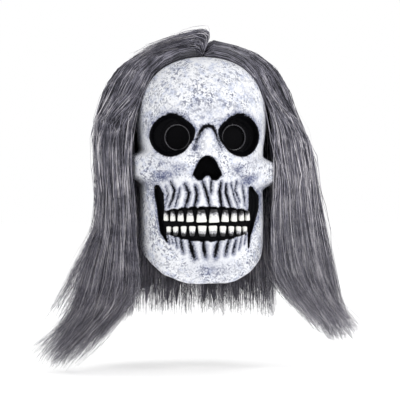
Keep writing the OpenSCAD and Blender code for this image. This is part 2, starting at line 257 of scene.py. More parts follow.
def makePaintedLatex():
    material, tree, shader = newMaterial("paintedLatex", 0.5)
    vector = objectVector(tree)
    wash = attribute(tree, "wash")
    washAndShade = attribute(tree, "washAndShade")
    spots, grain = speckle(tree, vector, paint["spotScale"], paint["patchScale"], 0.85)
    clots, _ = speckle(tree, vector, paint["spotScale"] * 0.47, paint["patchScale"] * 0.8, 0.75)
    rubbedOff = span(tree, attribute(tree, "clean"), 0.0, 1.0, 1.0, 0.15)
    spots = maths(tree, "MULTIPLY", maths(tree, "MAXIMUM", spots, clots), rubbedOff)
    mottle = span(tree, noise(tree, vector, 95.0, 8.0, 0.78), 0.50, 0.60, 0.0, 0.60)
    mottle = maths(tree, "MULTIPLY", mottle, rubbedOff)
    tint = blendColour(tree, mottle, paint["bone"], paint["coolBone"])
    # blue-grey wash: partly the mask's real paint and partly painted shade in hollows, creases and beside the
    # hair
    washAndShadeMix = maths(tree, "MULTIPLY", washAndShade, span(tree, grain, 0.36, 0.58, 0.45, 1.0))
    tint = blendColour(tree, washAndShadeMix, tint, paint["blueWashAndShade"])
    colour = blendColour(tree, spots, tint, paint["spotDark"])
    ragged = maths(tree, "ADD", wash, span(tree, grain, 0.3, 0.7, -0.20, 0.20))
    blackMask = span(tree, ragged, 0.30, 0.80)
    colour = blendColour(tree, blackMask, colour, paint["black"])
    tree.links.new(colour, shader.inputs["Base Color"])
    tree.links.new(span(tree, blackMask, 0, 1, 0.3, 0.04), shader.inputs["Specular IOR Level"])
    pits = maths(tree, "SUBTRACT", noise(tree, vector, 260.0, 4.0), maths(tree, "MULTIPLY", spots, 0.6))
    bumpFrom(tree, shader, pits, 0.7, 0.0008)
    return material


def makeLining():
    material, tree, shader = newMaterial("bareLatex", 0.62)
    vector = objectVector(tree)
    colour = ramp(tree, noise(tree, vector, 28.0, 4.0),
                  ((0.3, (0.46, 0.40, 0.28)), (0.55, (0.60, 0.54, 0.41)), (0.8, (0.68, 0.63, 0.50))))
    tree.links.new(colour, shader.inputs["Base Color"])
    bumpFrom(tree, shader, noise(tree, vector, 180.0, 5.0), 0.4, 0.0005)
    return material


def makeToothEnamel():
    material, tree, shader = newMaterial("toothPaint", 0.36)
    vector = objectVector(tree)
    root = attribute(tree, "root")
    # towards the root the paint goes grey, then black where it meets the black mouth band; the grey band is
    # painted shade
    uneven = maths(tree, "ADD", root, span(tree, noise(tree, vector, 420.0), 0.3, 0.7, -0.16, 0.16))
    colour = ramp(tree, uneven, ((0.0, (0.84, 0.84, 0.80)), (0.46, (0.80, 0.80, 0.77)),
                                 (0.64, (0.34, 0.34, 0.37)), (0.78, (0.02, 0.02, 0.022))))
    tree.links.new(colour, shader.inputs["Base Color"])
    bumpFrom(tree, shader, noise(tree, vector, 300.0, 3.0), 0.25, 0.0004)
    return material


def makeGlossBlack():
    material, tree, shader = newMaterial("socketBlack", 0.22)
    vector = objectVector(tree)
    colour = ramp(tree, noise(tree, vector, 240.0),
                  ((0.35, (0.010, 0.010, 0.013)), (0.7, (0.035, 0.035, 0.042))))
    tree.links.new(colour, shader.inputs["Base Color"])
    bumpFrom(tree, shader, noise(tree, vector, 500.0, 3.0), 0.3, 0.0003)
    return material


def makeWeave(name, colour, lightColour, scale, roughness, slant=0.0):
    material, tree, shader = newMaterial(name, roughness)
    shader.inputs["Specular IOR Level"].default_value = 0.05
    turn = addNode(tree, "Mapping")
    turn.inputs["Rotation"].default_value = (0, 0, slant)
    tree.links.new(objectVector(tree), turn.inputs["Vector"])
    heights = []
    for direction in ("X", "Z"):
        wave = setInputs(addNode(tree, "TexWave", bands_direction=direction), Scale=scale, Distortion=0.4)
        tree.links.new(turn.outputs["Vector"], wave.inputs["Vector"])
        heights.append(wave.outputs["Fac"])
    height = maths(tree, "MULTIPLY", *heights)
    tree.links.new(blendColour(tree, height, colour, lightColour), shader.inputs["Base Color"])
    bumpFrom(tree, shader, height, 0.6, 0.0004)
    return material


hairTone = {
    "stops": ((0.0, (0.012, 0.012, 0.017)), (0.30, (0.080, 0.078, 0.102)),
              (0.65, (0.275, 0.266, 0.325)), (1.0, (0.84, 0.81, 0.84))),
    # painted shade near the hair roots
    "rootPaintedShade": -0.36,
    "roughness": 0.40,
}


def makeHair():
    # u is a strand's own shade and v runs from root to tip
    material, tree, shader = newMaterial("greyHair", hairTone["roughness"])
    split = addNode(tree, "SeparateXYZ")
    tree.links.new(addNode(tree, "TexCoord").outputs["UV"], split.inputs["Vector"])
    streak = noise(tree, objectVector(tree), 60.0, 3.0)
    shade = maths(tree, "ADD", split.outputs["X"], span(tree, streak, 0.3, 0.7, -0.20, 0.20))
    # painted shade: the hair is darker near its roots, along the parting and the hairline
    shade = maths(tree, "ADD", shade, span(tree, split.outputs["Y"], 0.10, 0.60, hairTone["rootPaintedShade"], 0.03))
    colour = ramp(tree, shade, hairTone["stops"])
    tips = span(tree, split.outputs["Y"], 0.80, 1.0, 0.0, 0.25)
    colour = blendColour(tree, tips, colour, (0.15, 0.14, 0.17))
    tree.links.new(colour, shader.inputs["Base Color"])
    tree.links.new(span(tree, streak, 0.3, 0.7, 0.36, 0.52), shader.inputs["Roughness"])
    return material


paintedLatex = makePaintedLatex()
bareLatex = makeLining()
toothPaint = makeToothEnamel()
socketBlack = makeGlossBlack()
screenMesh = makeWeave("screenMesh", (0.001, 0.001, 0.0015), (0.010, 0.010, 0.012), 260.0, 0.7)
strapElastic = makeWeave("ribbedElastic", (0.012, 0.012, 0.014), (0.09, 0.09, 0.10), 150.0, 0.8)
weftThread = makeWeave("weftThread", (0.015, 0.014, 0.017), (0.12, 0.115, 0.13), 120.0, 0.85, 0.5)
greyHair = makeHair()
print("materials made")


# the cast skull, laid over side, front and back profiles

shellLow, shellHigh = boxOf("latex_shell")
eyeLow, eyeHigh = boxOf("eye_screen_left")

head = {
    "top": shellHigh[2],
    "chin": shellLow[2],
    "domeHeight": 87.0,
    "halfWidth": shellHigh[0] - 2.2,
    "halfLength": shellHigh[1],
    "squareness": 2.4,
    "faceSquareness": 2.8,
    "nape": shellHigh[2] - 193.0,
    "wall": 2.4,
    "lip": 8.0,
    "chinFlap": 14.0,
    "eyeHole": 15.0,
    "eyeTurn": math.radians(18),
    "slotHalf": 22.0,
    "slotTop": 40.0,        # middle of the slot's round end, above the nape edge
    "columns": 280,
    "rows": 172,
    "domeShare": 0.20,
    "lipShare": 0.04,
}
head["middle"] = head["top"] - head["domeHeight"]   # level where the dome is widest
brow = -head["halfLength"]
chinZ = head["chin"]
napeZ = head["nape"]
biteZ = head["top"] - 209.0
eyeX = (eyeLow[0] + eyeHigh[0]) / 2
eyeZ = (eyeLow[2] + eyeHigh[2]) / 2
socketX = 40.0
socketZ = eyeZ + 2.8

sideProfile = ((chinZ, 71), (chinZ + 45, 77), (-167, 76.5), (-116, 77), (head["middle"], head["halfWidth"]))
frontProfile = ((chinZ, 94), (chinZ + 18, 101), (chinZ + 38, 96), (biteZ - 10, 101), (biteZ + 14, 102),
                (-161, 97), (-141, 98), (-116, 101), (head["middle"], head["halfLength"]))
backProfile = ((napeZ, 82), (-141, 96), (head["middle"], head["halfLength"]))
powerProfile = ((biteZ, 2.9), (-141, 2.8), (socketZ, head["faceSquareness"]),
                (head["middle"], head["squareness"]))
edgeProfile = ((0, chinZ), (15, chinZ + 0.2), (22, chinZ + 3), (32, chinZ + 10), (45, chinZ + 20),
               (60, chinZ + 29), (78, chinZ + 40), (95, (chinZ + 2 * napeZ) / 3), (120, napeZ - 8),
               (150, napeZ), (180, napeZ))


def ovalRadius(phi, a, b, power):
    return ((np.abs(np.sin(phi)) / a) ** power + (np.abs(np.cos(phi)) / b) ** power) ** (-1 / power)


def skinRadius(phi, z):
    around = np.degrees(np.abs(phi))
    reach = np.where(around < 90, lookUp(frontProfile, z), lookUp(backProfile, z))
    radius = ovalRadius(phi, lookUp(sideProfile, z), reach, lookUp(powerProfile, z))
    drop = np.where(phi > 0, 8.0, 0.0)
    cheekWindow = smooth(-160, -146, z + drop) * (1 - smooth(-128, -117, z + drop))
    cheek = np.where(phi > 0, 18.0, 15.0) * cheekWindow * bump(around, 70, 27)
    return radius + cheek


def skinGrid(u, v):
    # u runs round the head from the back, v from the crown down to the inner edge of the lip
    w = 2 * u - 1
    phi = np.radians(np.where(np.abs(w) < 0.8, w * 72.5, np.sign(w) * (58 + (np.abs(w) - 0.8) * 610)))
    p = head["squareness"]
    onDome = v < head["domeShare"]
    rise = np.pi / 2 * (1 - np.clip(v / head["domeShare"], 0, 1)) ** 1.5
    domeR = np.cos(rise) ** (2 / p) * ovalRadius(phi, head["halfWidth"], head["halfLength"], p)
    domeZ = head["middle"] + head["domeHeight"] * np.sin(rise) ** (2 / p)
    edgeZ = lookUp(edgeProfile, np.degrees(np.abs(phi)))
    lip = head["lip"]
    down = (v - head["domeShare"]) / (1 - head["domeShare"] - head["lipShare"])
    faceZ = mix(head["middle"], edgeZ + lip, np.clip(down, 0, 1))
    faceR = skinRadius(phi, faceZ)
    curl = np.clip((v - 1 + head["lipShare"]) / head["lipShare"], 0, 1)
    bend = np.clip(curl * 1.6, 0, 1) * np.pi / 2
    flap = 1 + head["chinFlap"] * np.maximum(0, np.cos(phi)) ** 2
    faceR = faceR - lip * (1 - np.cos(bend)) - flap * np.clip((curl - 0.625) / 0.375, 0, 1)
    faceZ = faceZ - lip * np.sin(bend)
    r = np.where(onDome, domeR, faceR)
    z = np.where(onDome, domeZ, faceZ)
    return np.stack([r * np.sin(phi), -r * np.cos(phi), z], axis=1), phi


def lineDistance(x, z, points):
    # distance to a bent line and how far along it the nearest point is
    best = np.full(x.shape, 1e9)
    place = np.zeros(x.shape)
    count = len(points) - 1
    for i in range(count):
        (ax, az), (bx, bz) = points[i], points[i + 1]
        dx, dz = bx - ax, bz - az
        t = np.clip(((x - ax) * dx + (z - az) * dz) / (dx * dx + dz * dz), 0, 1)
        distance = np.hypot(x - ax - t * dx, z - az - t * dz)
        closer = distance < best
        best = np.where(closer, distance, best)
        place = np.where(closer, (i + t) / count, place)
    return best, place


# socket outline: radius at an angle counted from the nose side, upwards
socketOutline = ((-180, 26.5), (-141, 27), (-106, 27.5), (-72, 25.5), (-34, 23.8), (12, 28), (47, 24.5),
                 (88, 26.5), (137, 25.5), (180, 26.5))
noseOutline = ((-156, 8), (-153, 15), (-151, 17.5), (-148, 18), (-142, 15.8), (-136.5, 13), (-132, 10.8),
               (-128, 8), (-126, 5.4), (-124, 0), (-123.8, -20))
upperGum = ((0, -186), (3, -186.5), (25, -187.5), (40, -189.5), (52, -192))
lowerGum = ((0, -227), (14, -226.5), (28, -224), (42, -220), (52, -215))
creaseLine = ((-16.2, -117), (-12.8, -104), (-9.2, -96), (-4.5, -90.4), (1, -89.2), (6, -90.6), (9.5, -97),
              (12.5, -106), (16.5, -115))
rootGrooves = (   # (points down the groove, half width, depth)
    (((-43.5, -156), (-39, -166), (-41.5, -176), (-46, -186)), 2.3, 3.4),
    (((-49, -161), (-46.5, -171), (-50, -182)), 1.6, 2.2),
    (((-33, -163), (-35.5, -174), (-39, -186)), 1.7, 2.6),
    (((-27, -159), (-22.5, -169), (-24, -177), (-27, -186)), 2.7, 3.6),
    (((-14.5, -162), (-13, -171), (-14, -178), (-16.5, -187)), 2.5, 3.8),
    (((-6, -156), (-2.5, -165), (0, -175), (2.4, -187)), 2.3, 3.8),
    (((5.2, -151), (4.2, -161), (3.6, -170)), 2.0, 3.2),
    (((16.6, -157), (14.5, -168), (15.4, -178), (17, -187)), 2.3, 4.0),
    (((22.5, -159), (22, -170), (27.5, -187)), 2.2, 3.8),
    (((28.5, -158), (32, -173), (37, -187)), 1.7, 2.6),
    (((36, -155), (33.5, -166), (38.5, -180)), 1.8, 2.6),
    (((43.5, -160), (44.5, -171), (46, -184)), 1.9, 2.6),
)
chinGrooves = (
    (((-48.5, -217), (-46.5, -224), (-45, -230)), 1.4, 2.0),
    (((-44, -219), (-41, -231)), 1.2, 2.0),
    (((-39.5, -220), (-35.5, -235)), 1.8, 2.6),
    (((-32.8, -222), (-28.8, -240)), 2.5, 3.2),
    (((-21.5, -226), (-18.6, -236), (-15.5, -248)), 3.5, 4.0),
    (((-4.8, -227), (-2.5, -246)), 3.3, 3.8),
    (((13.6, -227), (9.2, -246)), 3.4, 4.0),
    (((26, -226), (22, -244)), 2.7, 3.3),
    (((34.8, -225), (31.4, -242)), 2.2, 2.9),
    (((41.5, -223), (39, -238)), 1.4, 2.2),
    (((47, -220), (45.5, -232)), 1.2, 1.8),
)
cheekTrenches = (   # (points down the hollow, half width at shares of its length)
    (((-59.0, -163), (-57, -171), (-55.5, -184), (-54.5, -200), (-52.5, -217), (-48, -228)),
     ((0, 3.2), (0.2, 5.2), (0.5, 4.0), (0.8, 3.4), (1.0, 1.0))),
    (((54.5, -165), (58.5, -176), (57.5, -189), (54, -200), (52.8, -210), (51.6, -222), (51.4, -236)),
     ((0, 3.4), (0.14, 7.4), (0.35, 7.2), (0.55, 6.2), (0.68, 4.8), (0.8, 2.4), (1.0, 1.0))),
)


def socketShare(x, z):
    # 1 on a socket's outline, less inside
    inward = socketX + np.where(x < 0, 1.8, -0.5) - np.abs(x)
    angle = np.degrees(np.arctan2(z - socketZ, inward))
    return np.hypot(inward, z - socketZ) / lookUp(socketOutline, angle)


def noseInside(x, z):
    # millimetres inside the nose opening's outline, negative outside
    across = np.abs(x)
    floor = -149 - 5.0 * smooth(1.5, 7, across) + 6.0 * smooth(11, 18.5, across)
    return np.minimum(lookUp(noseOutline, z) - across, z - floor)


def mouthInside(x, z):
    across = np.abs(x)
    scallop = 1.3 * np.abs(np.sin(across * np.pi / 12.0))
    roof = lookUp(upperGum, across) + scallop
    floor = lookUp(lowerGum, across) - scallop
    return np.minimum(np.minimum(roof - z, z - floor), 52 - across)


def faceRelief(x, y, z):
    # how far the surface moves back, where black wash lies, and where the blue-grey wash lies, partly real
    # paint and partly painted shade
    side = np.abs(x)
    back = np.zeros_like(x)
    wash = np.zeros_like(x)
    washAndShade = np.zeros_like(x)
    clean = 0.9 * bump(side, 0, 8) * smooth(-132, -118, z) * (1 - smooth(-106, -96, z))

    # brow, nose bone, upper jaw and chin stand forward
    back -= 2.6 * bump(z, socketZ + 29, 8) * bump(side, 36, 24)
    back -= 6.5 * bump(side, 0, 10) * smooth(-132, -112, z) * (1 - smooth(-98, -84, z))
    back -= 3.5 * bump(z, -176, 15) * (1 - smooth(34, 54, side))
    back -= 3.0 * bump(z, chinZ + 20, 12) * bump(side, 14, 20)
    back += 2.0 * bump(z, chinZ + 16, 8) * bump(side, 0, 7)
    back += 2.2 * bump(z, -236, 8) * (1 - smooth(30, 50, side))

    # hollow under the cheekbone, with painted shade in it and below the sockets
    hollow = np.maximum(bump(x, -52, 12) * bump(z, -149, 6),
                        bump(x, 50, 12) * bump(z, -155 + 0.3 * (x - 50), 7))
    back += 6.0 * hollow
    washAndShade += 1.5 * hollow + 0.8 * bump(x, -35, 9) * bump(z, -138, 6) + 0.6 * bump(x, 40, 8) * bump(z, -140, 8)
    back += 2.5 * bump(side, 62, 9) * bump(z, -172, 14)
    # more blue-grey wash and painted shade under the cheekbone edge, on the chin, below the sockets and over
    # the brows
    washAndShade += 0.7 * bump(side, 70, 10) * bump(z, -162 - 0.05 * x, 5) + 0.6 * bump(x, 6, 30) * bump(z, -260, 11)
    washAndShade += 0.4 * bump(side, 34, 9) * bump(z, -143, 6) + 0.35 * bump(side, 0, 26) * bump(z, -72, 12)

    # sockets sink to the plane that the screens lie behind
    share = socketShare(x, z)
    floorY = brow + 27.0 + 0.325 * (side - eyeX)
    sink = 1 - smooth(0.74, 1.0, share)
    back = mix(back, np.maximum(floorY - y, back), sink)
    eyeDistance = np.hypot((side - eyeX) / 0.95, z - eyeZ)
    back -= 1.3 * sink * bump(eyeDistance, 19.5, 1.0)
    back -= 1.2 * bump(share, 1.12, 0.10)
    clean = np.maximum(clean, 0.8 * bump(share, 1.14, 0.09) * (1 - smooth(-95, -80, z)))
    wash = np.maximum(wash, 1 - smooth(0.96, 1.03, share))
    washAndShade = np.maximum(washAndShade, 0.95 * (1 - smooth(1.0, 1.30, share)) * (0.35 + 0.65 * smooth(-112, -90, z)))

    # nose opening
    inside = noseInside(x, z)
    back = mix(back, 17.0 + brow - y, smooth(-0.4, 3.2, inside))
    back -= 1.0 * bump(inside, -2.5, 2.0)
    wash = np.maximum(wash, smooth(-0.9, 0.3, inside))
    washAndShade = np.maximum(washAndShade, 0.6 * smooth(-5, -1, inside))

    # crease over the nose bone
    distance, place = lineDistance(x, z, creaseLine)
    strength = 0.32 + 0.58 * np.sin(np.pi * np.clip(place, 0.04, 0.96))
    back += 2.8 * bump(distance, 0, 2.2)
    wash = np.maximum(wash, (0.2 + strength) * bump(distance, 0, 2.8))
    washAndShade = np.maximum(washAndShade, 0.95 * bump(distance, 0, 5.4))

    # grooves between the tooth roots
    for points, halfWidth, depth in rootGrooves + chinGrooves:
        distance, place = lineDistance(x, z, points)
        taper = np.sin(np.pi * np.clip(0.14 + 0.72 * place, 0, 1))
        line = bump(distance, 0, halfWidth * (0.45 + 0.46 * taper))
        back += depth * line
        back -= 1.3 * bump(distance, halfWidth * 2.2, halfWidth)
        clean = np.maximum(clean, bump(distance, halfWidth * 2.4, halfWidth * 1.1))
        wash = np.maximum(wash, line * (0.12 + 0.23 * depth) * (0.62 + 0.38 * taper))
        washAndShade = np.maximum(washAndShade, 0.95 * bump(distance, 0, halfWidth * 1.7))

    # black band behind the teeth
    mouth = mouthInside(x, z)
    back += 4.0 * smooth(-0.5, 2.2, mouth)
    back -= 1.2 * bump(mouth, -2.4, 2.0) * (1 - smooth(46, 54, side))
    wash = np.maximum(wash, smooth(-0.8, 0.4, mouth))
    clean = np.maximum(clean, bump(mouth, -2.6, 2.0) * (1 - smooth(46, 54, side)))
    washAndShade = np.maximum(washAndShade, 0.5 * smooth(-2.5, -0.3, mouth))

    # deep hollows beside the teeth
    for points, widths in cheekTrenches:
        distance, place = lineDistance(x, z, points)
        trench = 1 - distance / lookUp(widths, place)
        back += 7.5 * smooth(0, 1.0, trench)
        wash = np.maximum(wash, smooth(-0.25, 0.15, trench))
        washAndShade = np.maximum(washAndShade, 0.9 * smooth(-1.3, -0.2, trench))
    back -= 1.5 * bump(side, 65, 5) * smooth(-245, -225, z) * (1 - smooth(-178, -165, z))

    # painted shade on the temples beside the hair and on the cheek tops
    washAndShade = np.maximum(washAndShade, 0.5 * smooth(70, 80, side) * smooth(-120, -100, z))
    washAndShade = np.maximum(washAndShade, 0.45 * bump(side, 54, 12) * bump(z, -134, 8))
    return back, wash, washAndShade, clean * (1 - smooth(0.2, 0.5, wash))


def lumps(points, size, seed):
    # soft unevenness from a few sine waves
    waves = np.random.default_rng(seed)
    total = np.zeros(len(points))
    for _ in range(7):
        direction = waves.normal(size=3)
        direction /= np.linalg.norm(direction)
        turns = points @ direction / (size * waves.uniform(0.7, 1.5))
        total += np.sin(2 * np.pi * turns + waves.uniform(0, 6.28))
    return total / 7


def makeSkull():
    bm = bmesh.new()
    bmesh.ops.create_grid(bm, x_segments=head["columns"], y_segments=head["rows"], size=0.5)
    mesh = finishMesh(bm, "skull_skin")
    uv = readPoints(mesh)[:, :2] + 0.5
    points, phi = skinGrid(uv[:, 0], 1 - uv[:, 1])
    x, y, z = points.T
    front = smooth(0.15, 0.45, np.cos(phi))
    back, wash, washAndShade, clean = faceRelief(x, y, z)
    points[:, 1] += back * front
    points *= (1 + 0.004 * lumps(points, 26, 5) * (1 - wash))[:, None]
    writePoints(mesh, points)
    floatAttribute(mesh, "wash", wash * front)
    floatAttribute(mesh, "washAndShade", np.clip(washAndShade, 0, 1) * front)
    floatAttribute(mesh, "clean", clean * front)

    bm = bmesh.new()
    bm.from_mesh(mesh)
    bm.verts.ensure_lookup_table()
    eyeHole, squash = head["eyeHole"], math.cos(head["eyeTurn"])
    slotHalf, slotTop = head["slotHalf"], napeZ + head["slotTop"]
    doomed = []
    for face in bm.faces:
        centre = face.calc_center_median()
        cx, cz = centre.x / mm, centre.z / mm
        if centre.y < -0.03 and cz > -160:
            across = math.hypot((abs(cx) - eyeX) / squash, cz - eyeZ)
            if across < eyeHole or noseInside(np.array([cx]), np.array([cz]))[0] > 4.6:
                doomed.append(face)
        elif centre.y > 0.02 and cz < slotTop + slotHalf:
            if math.hypot(cx, max(cz - slotTop, 0)) < slotHalf:
                doomed.append(face)
    bmesh.ops.delete(bm, geom=doomed, context="FACES")
    bmesh.ops.remove_doubles(bm, verts=bm.verts, dist=0.02 * mm)
    for vert in bm.verts:       # the eye holes are true circles
        if not vert.is_boundary or vert.co.y > -0.03 or vert.co.z < -0.16:
            continue
        side = 1 if vert.co.x > 0 else -1
        away = Vector(((vert.co.x - side * eyeX * mm) / squash, vert.co.z - eyeZ * mm))
        if 0.6 * eyeHole < away.length / mm < 1.4 * eyeHole:
            away *= eyeHole * mm / away.length
            vert.co.x = side * eyeX * mm + away.x * squash
            vert.co.z = eyeZ * mm + away.y
    bmesh.ops.recalc_face_normals(bm, faces=bm.faces)
    bm.to_mesh(mesh)
    bm.free()
    mesh.polygons.foreach_set("use_smooth", [True] * len(mesh.polygons))
    skull = newObject("skull_skin", mesh, [paintedLatex, bareLatex], "mask")
    wall = skull.modifiers.new("wall", "SOLIDIFY")
    wall.thickness = head["wall"] * mm
    wall.offset = -1
    wall.material_offset = 1
    wall.material_offset_rim = 0
    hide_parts("latex_shell")
    return skull


teeth = {
    "upper": {"widths": (12.6, 9.0, 7.6, 6.4, 5.8), "height": 16.2, "level": biteZ + 9.6, "root": 1},
    "lower": {"widths": (10.5, 8.0, 7.0, 6.6, 5.6), "height": 13.6, "level": biteZ - 8.6, "root": -1},
    "gap": 2.7,
    "depth": 5.0,
    "stand": 1.0,
    "rounding": 1.7,
}


def facing(phi, z):
    step = 0.02
    radii = skinRadius(np.array([phi - step, phi, phi + step]), np.array([z] * 3))
    return phi - math.atan2((radii[2] - radii[0]) / (2 * step), radii[1])


def makeTeeth(row):
    shape = teeth[row]
    whole = bmesh.new()
    tilt = np.random.default_rng(3 if row == "upper" else 8)
    for side in (-1, 1):
        along = teeth["gap"] / 2
        for i, width in enumerate(shape["widths"]):
            along += width / 2
            height = shape["height"] * (1 - 0.06 * i) * tilt.uniform(0.93, 1.03)
            phi = side * along / -brow
            along += width / 2 + teeth["gap"]
            bm = bmesh.new()
            bmesh.ops.create_cube(bm, size=1)
            bmesh.ops.scale(bm, vec=(width, teeth["depth"], height), verts=bm.verts)
            for vert in bm.verts:
                if vert.co.z * shape["root"] > 0:
                    vert.co.x *= 0.70
                else:
                    vert.co.x += vert.co.x * 0.03
                vert.co.z += tilt.uniform(-0.35, 0.35)
            bmesh.ops.bevel(bm, geom=bm.edges[:], offset=teeth["rounding"], segments=3, affect="EDGES",
                            profile=0.5, material=-1)
            layer = bm.verts.layers.float.new("root")
            for vert in bm.verts:
                vert[layer] = 0.5 + shape["root"] * vert.co.z / height
                vert.co.y -= 0.7 * (1 - (2 * vert.co.x / width) ** 2)
            radius = skinRadius(np.array([phi]), np.array([shape["level"]]))[0] + teeth["stand"]
            place = Matrix.Translation((math.sin(phi) * (radius - teeth["depth"] / 2),
                                        -math.cos(phi) * (radius - teeth["depth"] / 2), shape["level"]))
            turn = Matrix.Rotation(facing(phi, shape["level"]), 4, "Z")
            lean = Matrix.Rotation(tilt.uniform(-0.05, 0.05), 4, "Y")
            bmesh.ops.transform(bm, matrix=Matrix.Scale(mm, 4) @ place @ turn @ lean, verts=bm.verts)
            part = bpy.data.meshes.new("tooth")
            bm.to_mesh(part)
            bm.free()
            whole.from_mesh(part)
            bpy.data.meshes.remove(part)
    bmesh.ops.recalc_face_normals(whole, faces=whole.faces)
    piece = newObject(row + "_teeth", finishMesh(whole, row + "_teeth"), [toothPaint], "mask")


def makeEyeRims():
    # raised rolled edge round each eye hole
    for side, name in ((1, "left"), (-1, "right")):
        bm = bmesh.new()
        ring = bmesh.ops.create_circle(bm, segments=10, radius=1.15 * mm)["verts"]
        bmesh.ops.rotate(bm, cent=(0, 0, 0), matrix=Matrix.Rotation(math.pi / 2, 3, "X"), verts=ring)
        bmesh.ops.translate(bm, vec=(15.4 * mm, 0, 0), verts=ring)
        bmesh.ops.spin(bm, geom=bm.verts[:] + bm.edges[:], cent=(0, 0, 0), axis=(0, 0, 1), dvec=(0, 0, 0),
                       angle=2 * math.pi, steps=64, use_merge=True)
        turn = Matrix.Rotation(side * head["eyeTurn"], 4, "Z") @ Matrix.Rotation(math.pi / 2, 4, "X")
        place = Matrix.Translation((side * eyeX * mm, (brow + 26.6) * mm, eyeZ * mm))
        bmesh.ops.transform(bm, matrix=place @ turn, verts=bm.verts)
        bmesh.ops.recalc_face_normals(bm, faces=bm.faces)
        piece = newObject("eye_rim_" + name, finishMesh(bm, "eye_rim_" + name), [socketBlack], "mask")


makeSkull()
for row in ("upper", "lower"):
    makeTeeth(row)
makeEyeRims()
print("skull made")


# hidden pieces keep their CAD shapes and get their own finishes

cadFinish = {
    "eye_screen_left": screenMesh, "eye_screen_right": screenMesh, "nose_screen": screenMesh,
    "nape_strap": strapElastic, "strap_patch_left": bareLatex, "strap_patch_right": bareLatex,
    "crown_patch": weftThread,
}
for level in ("upper", "lower"):
    for part in ("left", "right", "back"):
        cadFinish[level + "_weft_" + part] = weftThread
for node, material in cadFinish.items():
    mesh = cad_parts[node].data
    mesh.materials.clear()
    mesh.materials.append(material)


# hair: strands over an undercoat painted dark as shade, in one fall at each side and one behind

hair = {
    "rings": 15,
    "ringCrowding": 1.35,   # above 1 puts more rings on the dome
    "strandsEach": 1960,
    "clumpsEach": 150,
    "domeShare": 0.27,      # part of a strand that lies on the dome
    "topBulk": 13.5,
    "squareness": 2.35,     # the dome's outline as the hair lies on it
    "rootPull": 0.983,
    "thinRadius": 0.20,
    "thickRadius": 0.55,
    "tipShare": 0.25,
    "frizzShare": 0.2,
}


def fallRows(node, innerShift, outerShift):
    # the hanging hair's outline, level by level: height, inner and outer x, front and back y
    points = readPoints(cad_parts[node].data) / mm
    levels = np.round(points[:, 2], 1)
    rows = []
    for level in sorted(set(levels), reverse=True):
        x, y = np.abs(points[levels == level, 0]), points[levels == level, 1]
        inner = x.min() + lookUp(innerShift, level)
        outer = x.max() + lookUp(outerShift, level)
        rows.append((level, inner, outer, y.min(), y.max()))
    return np.array(rows)


# each fall's side value is painted light: one side's hair lighter, the other darker, as the light falls
fallShape = {
    "left": {"bulk": 33.0, "sign": 1, "paintedSideLight": 0.04, "sweep": (24, 0, 4), "rows": fallRows(
        "side_fall_left", ((-280, 0), (-254, 3), (-200, 1), (-170, 0)),
        ((-354, -2), (-342, -9), (-326, -13), (-302, -14), (-254, -11), (-200, -8), (-110, -5)))},
    "right": {"bulk": 40.0, "sign": -1, "paintedSideLight": -0.07, "sweep": (-16, 0, 5), "rows": fallRows(
        "side_fall_right",
        ((-380, -12), (-367, -15), (-348, 2), (-324, 8), (-304, 9), (-258, 9), (-215, 4), (-180, 0)),
        ((-380, -6), (-367, -6), (-348, -24), (-324, -27), (-304, -20), (-259, -7), (-110, -6)))},
}
backLow, backHigh = boxOf("back_fall")


def domeLevel(x, y, sideGrow, backGrow, topGrow):
    # height of a hair layer over the dome, which clears the patch at the crown
    p = hair["squareness"]
    across = np.abs(x) / (head["halfWidth"] + sideGrow)
    along = np.abs(y) / (head["halfLength"] + backGrow)
    inside = 1 - across ** p - along ** p
    overPatch = 2.6 * (1 - smooth(15, 34, np.hypot(x, y)))
    return head["middle"] + (head["domeHeight"] + topGrow) * np.clip(inside, 0, 1) ** (1 / p) + overPatch


def sidePath(side, s, d, t):
    # s runs from the front edge to the back, d from the scalp out, t from root to tip
    shape = fallShape[side]
    share = hair["domeShare"]
    full = smooth(0.0, 0.42, s) ** 0.7
    a = np.sin(np.clip(t / share, 0, 1) * np.pi / 2)
    lift = d * smooth(-0.06, 0.12, a)
    grow = 2.0 + shape["bulk"] * full * lift
    backGrow = 2.0 + 14.0 * lift
    phi = np.radians(mix(61.0, 128.0, s))
    outline = ovalRadius(phi, head["halfWidth"] + grow, head["halfLength"] + backGrow, hair["squareness"])
    radius = hair["rootPull"] * outline
    rootY = mix(-48.0, 44.0, s)
    x = mix(1.2, radius * np.sin(phi), a)
    y = mix(rootY, -radius * np.cos(phi), a) - 4.5 * np.sin(np.pi * a) * (1 - smooth(0, 0.3, s))
    z = domeLevel(x, y, grow, backGrow, 1.2 + hair["topBulk"] * lift * (0.75 + 0.25 * full))
    # hanging part
    heights, inner, outer, front, rear = shape["rows"][::-1].T
    drop = np.clip((t - share) / (1 - share), 0, 1)
    hangZ = mix(heights[-1], heights[0], drop)
    rounding = np.clip(1 - np.abs(2 * s - 1) ** 2.6, 0, 1) ** (1 / 2.6)
    innerX = np.interp(hangZ, heights, inner)
    outerX = np.interp(hangZ, heights, outer)
    hangX = mix(innerX, outerX, d * rounding * 0.96 + 0.02)
    hangY = mix(np.interp(hangZ, heights, front), np.interp(hangZ, heights, rear), s)
    join = smooth(share * 0.86, share * 1.22, t)
    x, y, z = mix(x, hangX, join), mix(y, hangY, join), mix(z, hangZ, join)
    return np.stack([shape["sign"] * x, y, z], axis=-1)


